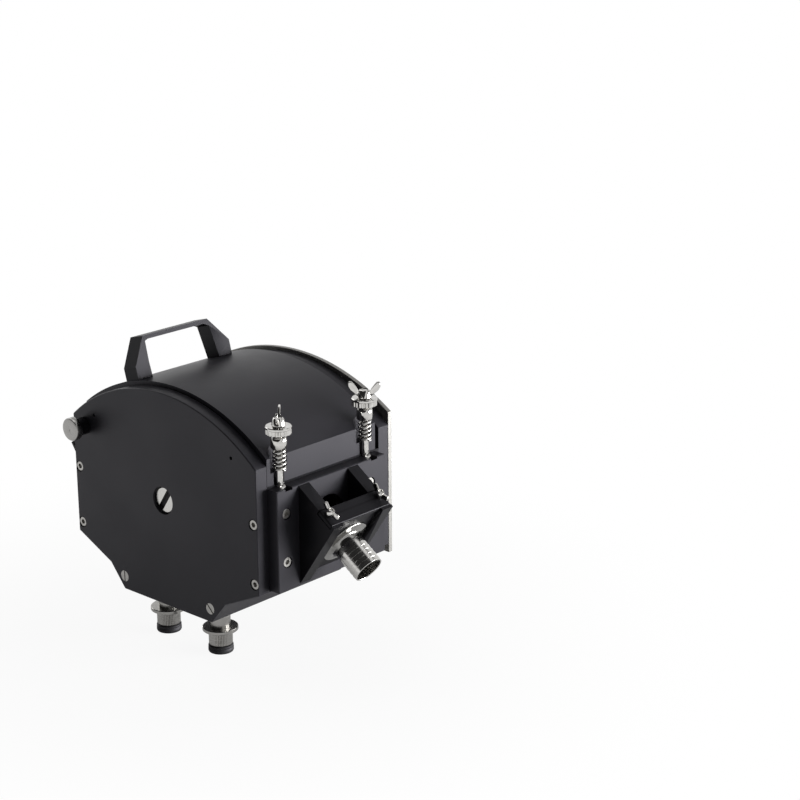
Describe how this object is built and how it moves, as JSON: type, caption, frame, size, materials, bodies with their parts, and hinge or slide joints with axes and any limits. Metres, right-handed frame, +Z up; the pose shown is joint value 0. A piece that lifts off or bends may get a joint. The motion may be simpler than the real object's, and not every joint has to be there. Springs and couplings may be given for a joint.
{
  "type": "peristaltic pump head",
  "caption": "Peristaltic pump head with a hinged spring-clamped cover, roller rotor, slide-out hose connectors and screw feet.",
  "frame": {"origin": "rotor axis on the rear mounting face", "axes": "+X to the right seen from the front, +Y back along the rotor axis towards the drive, +Z up"},
  "size_m": [0.436, 0.218, 0.3269],
  "materials": {
    "black_anodised": "satin",
    "stainless": "brushed",
    "polished": "polished",
    "screw_black": "satin",
    "rubber": "matte",
    "black_plastic": "satin"
  },
  "bodies": {
    "frame": {"mount_plate": "stainless", "rear_plate": "black_anodised", "front_plate": "black_anodised", "side_plate_left": "black_anodised", "side_plate_right": "black_anodised", "side_block_left": "black_anodised", "side_block_right": "black_anodised", "lower_shell": "black_anodised", "end_plate_screws": "screw_black", "side_block_screws": "screw_black", "shell_screws": "stainless", "bracket_cheeks": "black_anodised", "bearing_outer_rings": "stainless", "hinge_bush": "stainless", "bolt_pivots": "stainless", "foot_posts": "stainless"},
    "cover": {"cover_shell": "black_anodised", "cover_handle": "black_plastic", "handle_screws": "screw_black"},
    "hinge_pin": {"hinge_pin": "stainless", "hinge_knob": "polished"},
    "rotor": {"rotor_shaft": "stainless", "rotor_disc_front": "stainless", "rotor_disc_rear": "stainless", "rotor_hub": "stainless", "roller_axles": "stainless", "bearing_inner_rings": "stainless"},
    "roller_1": {"roller_1": "stainless"},
    "roller_2": {"roller_2": "stainless"},
    "roller_3": {"roller_3": "stainless"},
    "roller_4": {"roller_4": "stainless"},
    "roller_5": {"roller_5": "stainless"},
    "roller_6": {"roller_6": "stainless"},
    "swing_bolt_front": {"swing_bolt_front": "stainless", "bolt_spring_front": "stainless", "spring_cap_front": "polished"},
    "disc_nut_front": {"disc_nut_front": "polished"},
    "wing_nut_front": {"wing_nut_front": "polished"},
    "swing_bolt_rear": {"swing_bolt_rear": "stainless", "bolt_spring_rear": "stainless", "spring_cap_rear": "polished"},
    "disc_nut_rear": {"disc_nut_rear": "polished"},
    "wing_nut_rear": {"wing_nut_rear": "polished"},
    "connector_right": {"port_plate_right": "black_anodised", "clamp_bar_right": "black_anodised", "hose_barb_right": "polished", "barb_flange_right": "polished"},
    "wing_screw_right_front": {"wing_screw_right_front": "polished"},
    "wing_screw_right_rear": {"wing_screw_right_rear": "polished"},
    "connector_left": {"port_plate_left": "black_anodised", "clamp_bar_left": "black_anodised", "hose_barb_left": "polished", "barb_flange_left": "polished"},
    "wing_screw_left_front": {"wing_screw_left_front": "polished"},
    "wing_screw_left_rear": {"wing_screw_left_rear": "polished"},
    "foot_right": {"foot_pad_right": "rubber"},
    "foot_body_right": {"foot_body_right": "stainless"},
    "foot_left": {"foot_pad_left": "rubber"},
    "foot_body_left": {"foot_body_left": "stainless"}
  },
  "joints": [
    {"name": "cover_hinge", "type": "hinge", "parent": "frame", "child": "cover", "pos_m": [-0.1215, -0.11, 0.0558], "axis": [0, -1, 0], "range_deg": [0, 75]},
    {"name": "pin_pull", "type": "slide", "parent": "frame", "child": "hinge_pin", "axis": [0, -1, 0], "range_m": [0, 0.19]},
    {"name": "rotor_spin", "type": "hinge", "parent": "frame", "child": "rotor", "pos_m": [0, -0.11, 0], "axis": [0, 1, 0], "continuous": true},
    {"name": "roller_1_spin", "type": "hinge", "parent": "rotor", "child": "roller_1", "pos_m": [0, -0.11, 0.065], "axis": [0, 1, 0], "continuous": true},
    {"name": "roller_2_spin", "type": "hinge", "parent": "rotor", "child": "roller_2", "pos_m": [0.05629, -0.11, 0.0325], "axis": [0, 1, 0], "continuous": true},
    {"name": "roller_3_spin", "type": "hinge", "parent": "rotor", "child": "roller_3", "pos_m": [0.05629, -0.11, -0.0325], "axis": [0, 1, 0], "continuous": true},
    {"name": "roller_4_spin", "type": "hinge", "parent": "rotor", "child": "roller_4", "pos_m": [0, -0.11, -0.065], "axis": [0, 1, 0], "continuous": true},
    {"name": "roller_5_spin", "type": "hinge", "parent": "rotor", "child": "roller_5", "pos_m": [-0.05629, -0.11, -0.0325], "axis": [0, 1, 0], "continuous": true},
    {"name": "roller_6_spin", "type": "hinge", "parent": "rotor", "child": "roller_6", "pos_m": [-0.05629, -0.11, 0.0325], "axis": [0, 1, 0], "continuous": true},
    {"name": "bolt_swing_front", "type": "hinge", "parent": "frame", "child": "swing_bolt_front", "pos_m": [0.141, -0.166, 0.0375], "axis": [0, 1, 0], "range_deg": [0, 60]},
    {"name": "disc_nut_turn_front", "type": "hinge", "parent": "swing_bolt_front", "child": "disc_nut_front", "pos_m": [0.141, -0.166, 0.101], "axis": [0, 0, 1], "continuous": true},
    {"name": "wing_nut_turn_front", "type": "hinge", "parent": "swing_bolt_front", "child": "wing_nut_front", "pos_m": [0.141, -0.166, 0.11], "axis": [0, 0, 1], "continuous": true},
    {"name": "bolt_swing_rear", "type": "hinge", "parent": "frame", "child": "swing_bolt_rear", "pos_m": [0.141, -0.042, 0.0375], "axis": [0, 1, 0], "range_deg": [0, 60]},
    {"name": "disc_nut_turn_rear", "type": "hinge", "parent": "swing_bolt_rear", "child": "disc_nut_rear", "pos_m": [0.141, -0.042, 0.101], "axis": [0, 0, 1], "continuous": true},
    {"name": "wing_nut_turn_rear", "type": "hinge", "parent": "swing_bolt_rear", "child": "wing_nut_rear", "pos_m": [0.141, -0.042, 0.11], "axis": [0, 0, 1], "continuous": true},
    {"name": "connector_lift_right", "type": "slide", "parent": "frame", "child": "connector_right", "axis": [0.5664, 0, 0.8241], "range_m": [0, 0.09]},
    {"name": "wing_screw_right_front_turn", "type": "hinge", "parent": "connector_right", "child": "wing_screw_right_front", "pos_m": [0.18916, -0.146, 0.01718], "axis": [0.5664, 0, 0.8241], "continuous": true},
    {"name": "wing_screw_right_rear_turn", "type": "hinge", "parent": "connector_right", "child": "wing_screw_right_rear", "pos_m": [0.18916, -0.074, 0.01718], "axis": [0.5664, 0, 0.8241], "continuous": true},
    {"name": "connector_lift_left", "type": "slide", "parent": "frame", "child": "connector_left", "axis": [-0.5664, 0, 0.8241], "range_m": [0, 0.09]},
    {"name": "wing_screw_left_front_turn", "type": "hinge", "parent": "connector_left", "child": "wing_screw_left_front", "pos_m": [-0.18916, -0.146, 0.01718], "axis": [-0.5664, 0, 0.8241], "continuous": true},
    {"name": "wing_screw_left_rear_turn", "type": "hinge", "parent": "connector_left", "child": "wing_screw_left_rear", "pos_m": [-0.18916, -0.074, 0.01718], "axis": [-0.5664, 0, 0.8241], "continuous": true},
    {"name": "foot_reach_right", "type": "slide", "parent": "frame", "child": "foot_right", "axis": [0, 0, -1], "range_m": [0, 0.008]},
    {"name": "foot_turn_right", "type": "hinge", "parent": "foot_right", "child": "foot_body_right", "pos_m": [0.041, -0.161, -0.15], "axis": [0, 0, -1], "range_deg": [0, 1930]},
    {"name": "foot_reach_left", "type": "slide", "parent": "frame", "child": "foot_left", "axis": [0, 0, -1], "range_m": [0, 0.008]},
    {"name": "foot_turn_left", "type": "hinge", "parent": "foot_left", "child": "foot_body_left", "pos_m": [-0.041, -0.161, -0.15], "axis": [0, 0, -1], "range_deg": [0, 1930]}
  ],
  "couplings": [
    {"joint": "bolt_swing_front", "follows": "cover_hinge", "ratio": 0.8},
    {"joint": "bolt_swing_rear", "follows": "cover_hinge", "ratio": 0.8},
    {"joint": "foot_turn_right", "follows": "foot_reach_right", "rad_per_m": 4188.8},
    {"joint": "foot_turn_left", "follows": "foot_reach_left", "rad_per_m": 4188.8}
  ]
}
